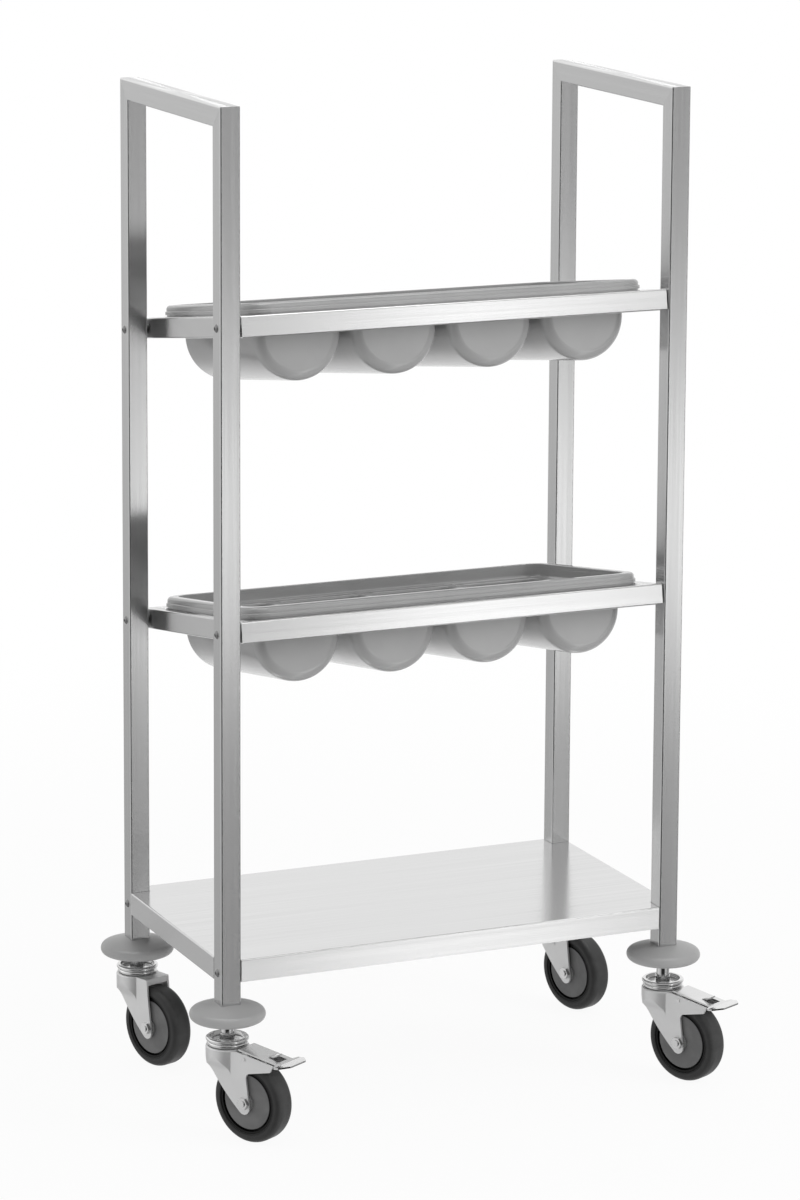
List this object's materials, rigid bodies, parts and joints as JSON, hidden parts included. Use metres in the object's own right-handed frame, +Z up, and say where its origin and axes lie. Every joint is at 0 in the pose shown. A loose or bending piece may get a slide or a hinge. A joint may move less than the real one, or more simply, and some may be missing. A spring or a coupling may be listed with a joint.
{
  "type": "cutlery cart",
  "caption": "Square-tube cart on swivel castors with a flat bottom shelf and sloping tray frames that hold lift-out cutlery bins.",
  "frame": {"origin": "on the floor, under the middle of the frame", "axes": "+X along the front from left to right, +Y from the front to the rear, +Z up"},
  "size_m": [0.6828, 0.4519, 1.222],
  "materials": {
    "brushed_stainless": "brushed",
    "fastener_steel": "polished",
    "zinc_steel": "bright zinc plated",
    "bin_plastic": "satin",
    "bumper_plastic": "satin",
    "socket_nylon": "matte",
    "wheel_plastic": "satin",
    "tyre_rubber": "matte"
  },
  "bodies": {
    "cart_frame": {"post_front_left": "brushed_stainless", "post_front_right": "brushed_stainless", "post_rear_left": "brushed_stainless", "post_rear_right": "brushed_stainless", "handle_bar_left": "brushed_stainless", "handle_bar_right": "brushed_stainless", "upper_rail_front": "brushed_stainless", "upper_rail_rear": "brushed_stainless", "upper_rail_left": "brushed_stainless", "upper_rail_right": "brushed_stainless", "middle_rail_front": "brushed_stainless", "middle_rail_rear": "brushed_stainless", "middle_rail_left": "brushed_stainless", "middle_rail_right": "brushed_stainless", "bottom_shelf": "brushed_stainless", "rail_screws": "fastener_steel", "shelf_screws": "fastener_steel", "rail_spacers": "fastener_steel", "rail_rivet_nuts": "fastener_steel", "shelf_nuts": "fastener_steel", "stem_socket_front_left": "socket_nylon", "bumper_front_left": "bumper_plastic", "castor_stem_front_left": "zinc_steel", "swivel_race_front_left": "zinc_steel", "stem_socket_front_right": "socket_nylon", "bumper_front_right": "bumper_plastic", "castor_stem_front_right": "zinc_steel", "swivel_race_front_right": "zinc_steel", "stem_socket_rear_left": "socket_nylon", "bumper_rear_left": "bumper_plastic", "castor_stem_rear_left": "zinc_steel", "swivel_race_rear_left": "zinc_steel", "stem_socket_rear_right": "socket_nylon", "bumper_rear_right": "bumper_plastic", "castor_stem_rear_right": "zinc_steel", "swivel_race_rear_right": "zinc_steel"},
    "swivel_front_left": {"fork_front_left": "zinc_steel", "axle_front_left": "zinc_steel", "brake_pin_front_left": "zinc_steel"},
    "wheel_front_left": {"hub_front_left": "wheel_plastic", "tyre_front_left": "tyre_rubber"},
    "pedal_front_left": {"brake_pedal_front_left": "zinc_steel"},
    "swivel_front_right": {"fork_front_right": "zinc_steel", "axle_front_right": "zinc_steel", "brake_pin_front_right": "zinc_steel"},
    "wheel_front_right": {"hub_front_right": "wheel_plastic", "tyre_front_right": "tyre_rubber"},
    "pedal_front_right": {"brake_pedal_front_right": "zinc_steel"},
    "swivel_rear_left": {"fork_rear_left": "zinc_steel", "axle_rear_left": "zinc_steel"},
    "wheel_rear_left": {"hub_rear_left": "wheel_plastic", "tyre_rear_left": "tyre_rubber"},
    "swivel_rear_right": {"fork_rear_right": "zinc_steel", "axle_rear_right": "zinc_steel"},
    "wheel_rear_right": {"hub_rear_right": "wheel_plastic", "tyre_rear_right": "tyre_rubber"},
    "upper_bin_body": {"upper_bin": "bin_plastic"},
    "middle_bin_body": {"middle_bin": "bin_plastic"}
  },
  "joints": [
    {"name": "swivel_turn_front_left", "type": "hinge", "parent": "cart_frame", "child": "swivel_front_left", "pos_m": [-0.2875, -0.1525, 0.11], "axis": [0, 0, 1], "continuous": true},
    {"name": "wheel_spin_front_left", "type": "hinge", "parent": "swivel_front_left", "child": "wheel_front_left", "pos_m": [-0.268, -0.18627, 0.05], "axis": [0.866, 0.5, 0], "continuous": true},
    {"name": "brake_press_front_left", "type": "hinge", "parent": "swivel_front_left", "child": "pedal_front_left", "pos_m": [-0.26825, -0.18584, 0.1032], "axis": [0.866, 0.5, 0], "range_deg": [0, 10]},
    {"name": "swivel_turn_front_right", "type": "hinge", "parent": "cart_frame", "child": "swivel_front_right", "pos_m": [0.2875, -0.1525, 0.11], "axis": [0, 0, 1], "continuous": true},
    {"name": "wheel_spin_front_right", "type": "hinge", "parent": "swivel_front_right", "child": "wheel_front_right", "pos_m": [0.30398, -0.18785, 0.05], "axis": [0.9063, 0.4226, 0], "continuous": true},
    {"name": "brake_press_front_right", "type": "hinge", "parent": "swivel_front_right", "child": "pedal_front_right", "pos_m": [0.30377, -0.18739, 0.1032], "axis": [0.9063, 0.4226, 0], "range_deg": [0, 10]},
    {"name": "swivel_turn_rear_left", "type": "hinge", "parent": "cart_frame", "child": "swivel_rear_left", "pos_m": [-0.2875, 0.1525, 0.11], "axis": [0, 0, 1], "continuous": true},
    {"name": "wheel_spin_rear_left", "type": "hinge", "parent": "swivel_rear_left", "child": "wheel_rear_left", "pos_m": [-0.27416, 0.11585, 0.05], "axis": [0.9397, 0.342, 0], "continuous": true},
    {"name": "swivel_turn_rear_right", "type": "hinge", "parent": "cart_frame", "child": "swivel_rear_right", "pos_m": [0.2875, 0.1525, 0.11], "axis": [0, 0, 1], "continuous": true},
    {"name": "wheel_spin_rear_right", "type": "hinge", "parent": "swivel_rear_right", "child": "wheel_rear_right", "pos_m": [0.29955, 0.11541, 0.05], "axis": [0.9511, 0.309, 0], "continuous": true},
    {"name": "upper_bin_lift", "type": "slide", "parent": "cart_frame", "child": "upper_bin_body", "axis": [0, 0.1564, 0.9877], "range_m": [0, 0.11]},
    {"name": "middle_bin_lift", "type": "slide", "parent": "cart_frame", "child": "middle_bin_body", "axis": [0, 0.1564, 0.9877], "range_m": [0, 0.11]}
  ]
}
